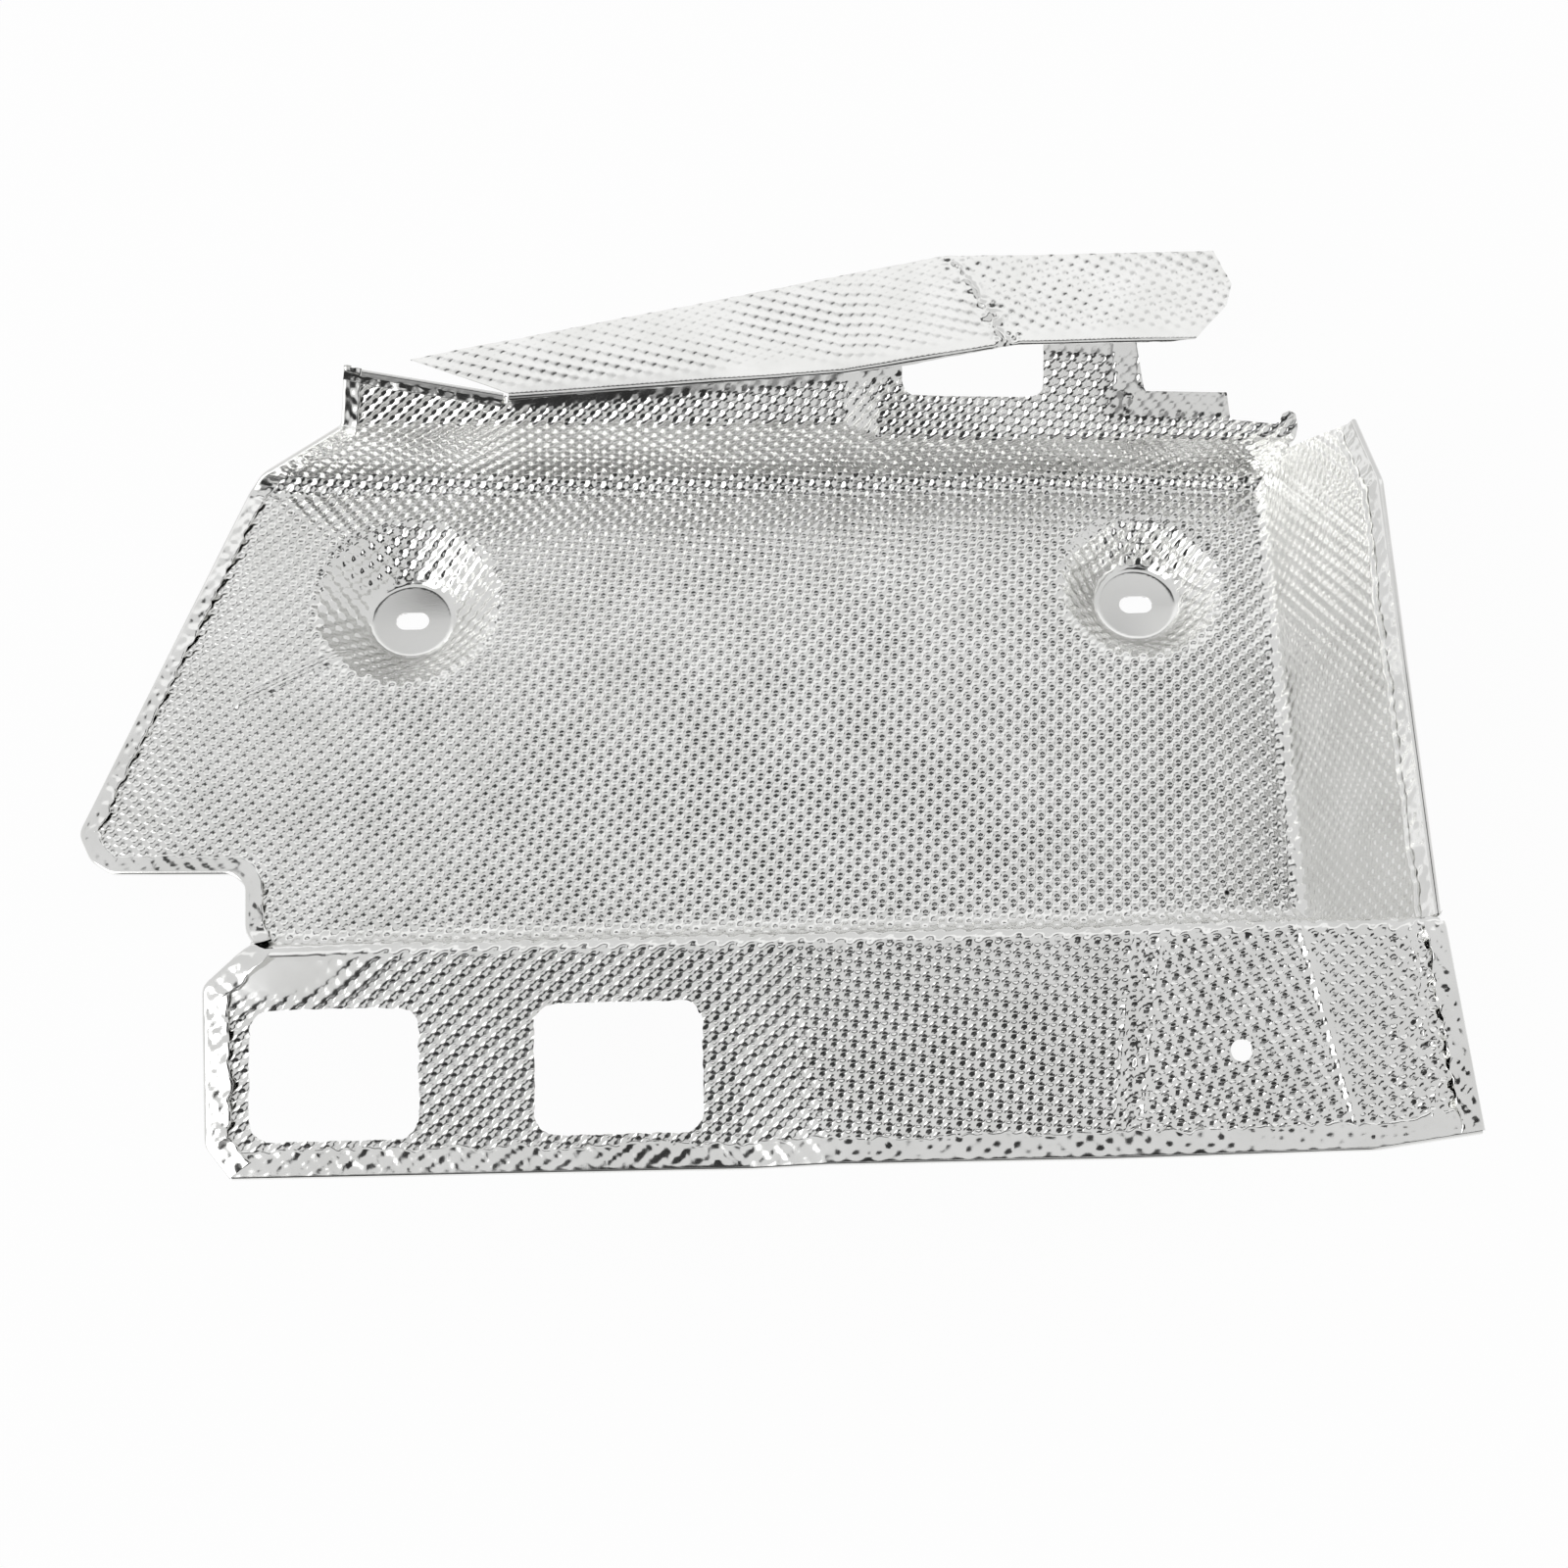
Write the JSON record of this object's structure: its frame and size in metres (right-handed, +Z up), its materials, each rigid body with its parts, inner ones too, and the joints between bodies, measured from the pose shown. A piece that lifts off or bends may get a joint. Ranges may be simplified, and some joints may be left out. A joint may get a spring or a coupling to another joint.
{
  "type": "heat shield",
  "caption": "Dimpled aluminium sheet pressed to an open tray with hemmed edges, windowed front skirt, rear flange and slotted fixing dishes; keeps exhaust heat off nearby parts.",
  "frame": {"origin": "midway between the two fixing slots, on the underside of the fixing dishes", "axes": "+X along the line of the two slots, towards the end with the high side wall; +Y towards the rear flange; +Z up, out of the open tray"},
  "size_m": [0.4351, 0.3331, 0.0885],
  "materials": {
    "aluminium_sheet": "bright, embossed with small dimples"
  },
  "bodies": {
    "root": {"heat_shield": "aluminium_sheet"}
  },
  "joints": []
}
